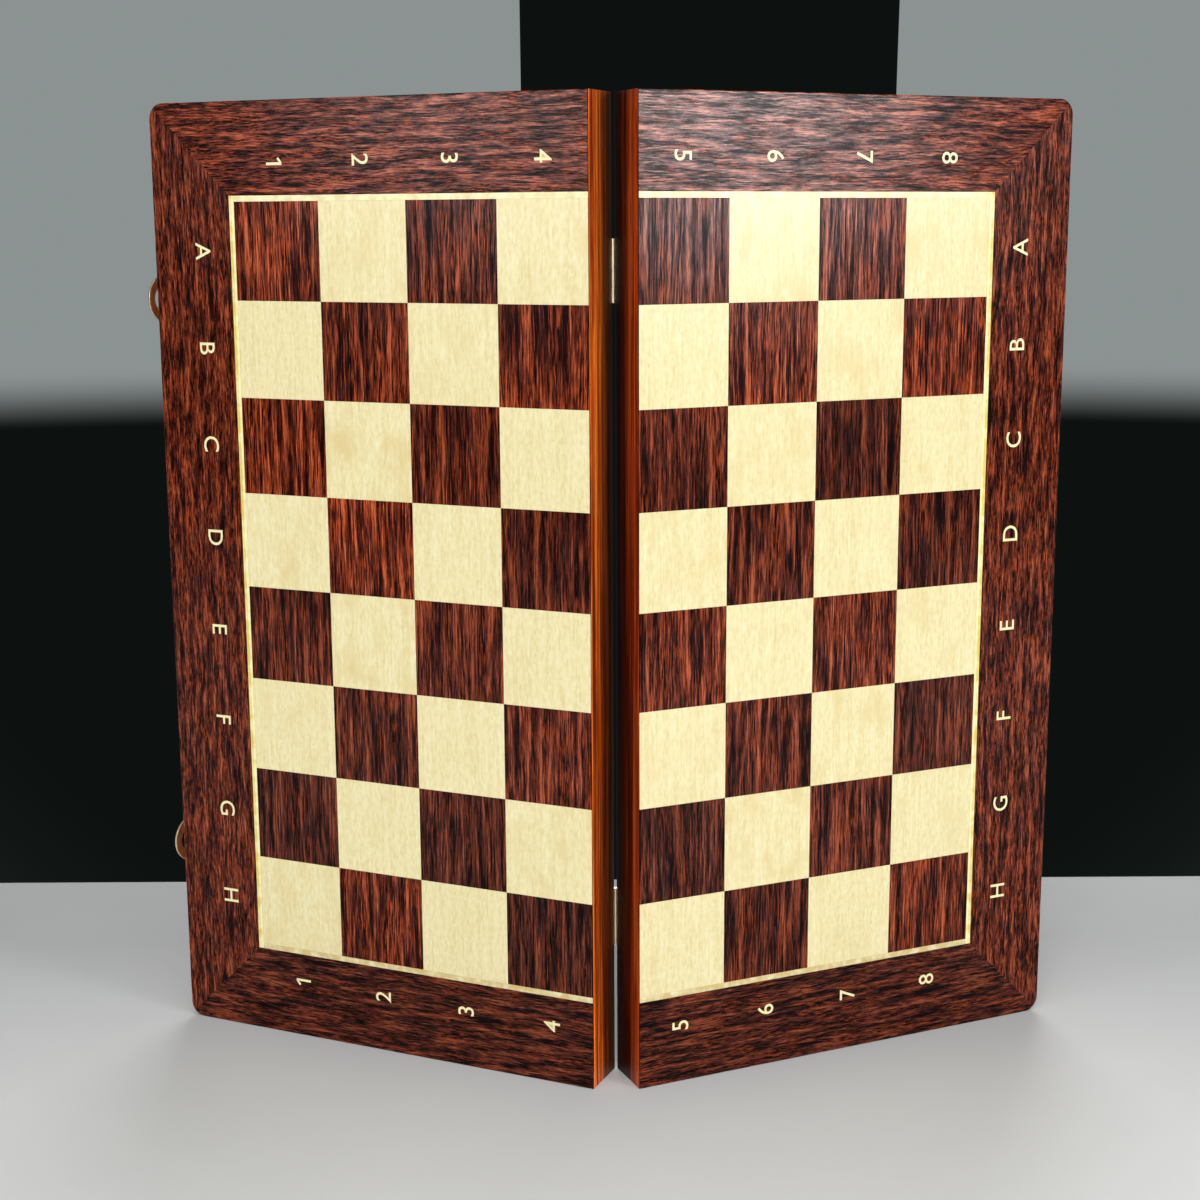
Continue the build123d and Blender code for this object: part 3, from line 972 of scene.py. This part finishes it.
stage = {
    "floor": (0.79, 0.80, 0.795),
    "floorSpread": (0.96, 1.04),
    "floorCloud": 3.0,
    "floorRoughness": 0.7,
    "brightest": 0.45,                     # how far in front of the hinge the painted pool of light on the floor is brightest
    "paintedFloorFall": (0.0, 0.6, 1.0, 0.50),    # over 0.6 m either way from there the painted light falls to a half
    "width": 3.6,
    "nearEdge": -1.05,
    "farEdge": 0.26,
    "seen": (0.26, 0.29, 0.285, 1),
    "seenDark": (0.004, 0.006, 0.0055, 1),
    "seenChange": (-0.10, -0.07),          # it goes dark below a line of sight of this height
    "seenPanel": (-0.037, 0.15),           # the dark panel behind the gap, from left to right
    "seenAhead": (0.55, 0.93),             # all that is dark lies behind the case
    "light": (0.15, 0.155, 0.16, 1),
}


# A pale table with a painted pool of light, its colour falling off before and behind the case
def makeFloor():
    deselect()
    middle = (stage["nearEdge"] + stage["farEdge"]) / 2
    bpy.ops.mesh.primitive_plane_add(size=1, location=(0, middle, 0))
    floor = bpy.context.object
    floor.name = "floor"
    bpy.ops.transform.resize(value=(stage["width"], stage["farEdge"] - stage["nearEdge"], 1))
    settle(floor)
    material, tree, principled, spot, _ = startMaterial(
        "paleFloor", Roughness=stage["floorRoughness"],
    )
    cloud = noiseAt(tree, spot, 6.0, 0.6, stage["floorCloud"])
    low, high = [[channel * k for channel in stage["floor"]] for k in stage["floorSpread"]]
    # painted light: the floor's colour falls off away from its brightest line
    away = calc(tree, "ADD", splitXyz(tree, spot)[1], stage["brightest"])
    fall = remap(tree, calc(tree, "ABSOLUTE", away), *stage["paintedFloorFall"])
    colour = scaleColour(tree, rampOf(tree, cloud, [(0.3, low), (0.7, high)]), fall)
    connect(tree, principled, Base_Color=colour)
    floor.data.materials.append(material)


# A grey studio, dark behind the case's gap, that sheds little light itself
def makeStudio():
    world = bpy.data.worlds.new("studio")
    world.use_nodes = True
    tree = world.node_tree
    way = splitXyz(tree, addNode(tree, "TexCoord").outputs["Generated"])
    start, end = stage["seenPanel"]
    pastStart = calc(tree, "GREATER_THAN", way[0], start)
    panel = calc(tree, "MULTIPLY", pastStart, calc(tree, "LESS_THAN", way[0], end))
    below = remap(tree, way[2], *reversed(stage["seenChange"]), kind="SMOOTHSTEP")
    ahead = remap(tree, way[1], *stage["seenAhead"], kind="SMOOTHSTEP")
    dark = calc(tree, "MULTIPLY", calc(tree, "ADD", below, panel, clamp=True), ahead)
    backdrop = mixColour(tree, dark, stage["seen"], stage["seenDark"])
    isSeen = addNode(tree, "LightPath").outputs["Is Camera Ray"]
    colour = mixColour(tree, isSeen, stage["light"], backdrop)
    tree.links.new(colour, tree.nodes["Background"].inputs[0])
    scene.world = world


lights = {
    "frontKey": {"place": (-0.35, -2.3, 1.15), "aim": (0, -0.06, 0.3), "size": 1.1, "power": 35},
    "ceiling": {"place": (0, -0.9, 2.4), "aim": (0, -0.3, 0), "size": 1.4, "power": 22},
    "rightWindow": {
        "place": (1.30, -1.05, 0.67), "aim": (0.05, 0, 0.45), "size": 0.42, "power": 11.5,
    },
    "leftWindow": {
        "place": (-1.30, -1.05, 0.69), "aim": (-0.1, 0, 0.45), "size": 0.42, "power": 4,
    },
    "backFill": {"place": (0.3, 2.4, 1.5), "aim": (0, 0, 0.25), "size": 1.6, "power": 40},
}


def makeLights():
    for name, light in lights.items():
        lamp = bpy.data.lights.new(name, "AREA")
        lamp.size = light["size"]
        lamp.energy = light["power"]
        holder = bpy.data.objects.new(name, lamp)
        scene.collection.objects.link(holder)
        holder.location = light["place"]
        ray = Vector(light["aim"]) - Vector(light["place"])
        holder.rotation_euler = ray.to_track_quat("-Z", "Y").to_euler()


# In metres, degrees and millimetres
camera = {
    "place": (-0.0086, -0.9886, 0.4387),
    "turn": (78.9035, 0.2898, -0.1396),
    "lens": 57.762,
    "sensor": 36,
    "nearest": 0.01,
}


def makeCamera():
    view = bpy.data.cameras.new("camera")
    view.lens = camera["lens"]
    view.sensor_width = camera["sensor"]
    view.clip_start = camera["nearest"]
    holder = bpy.data.objects.new("camera", view)
    scene.collection.objects.link(holder)
    holder.location = camera["place"]
    holder.rotation_euler = [radians(angle) for angle in camera["turn"]]
    scene.camera = holder


makeFloor()
makeStudio()
makeLights()
makeCamera()
scene.view_settings.view_transform = "Standard"
print("stage set")
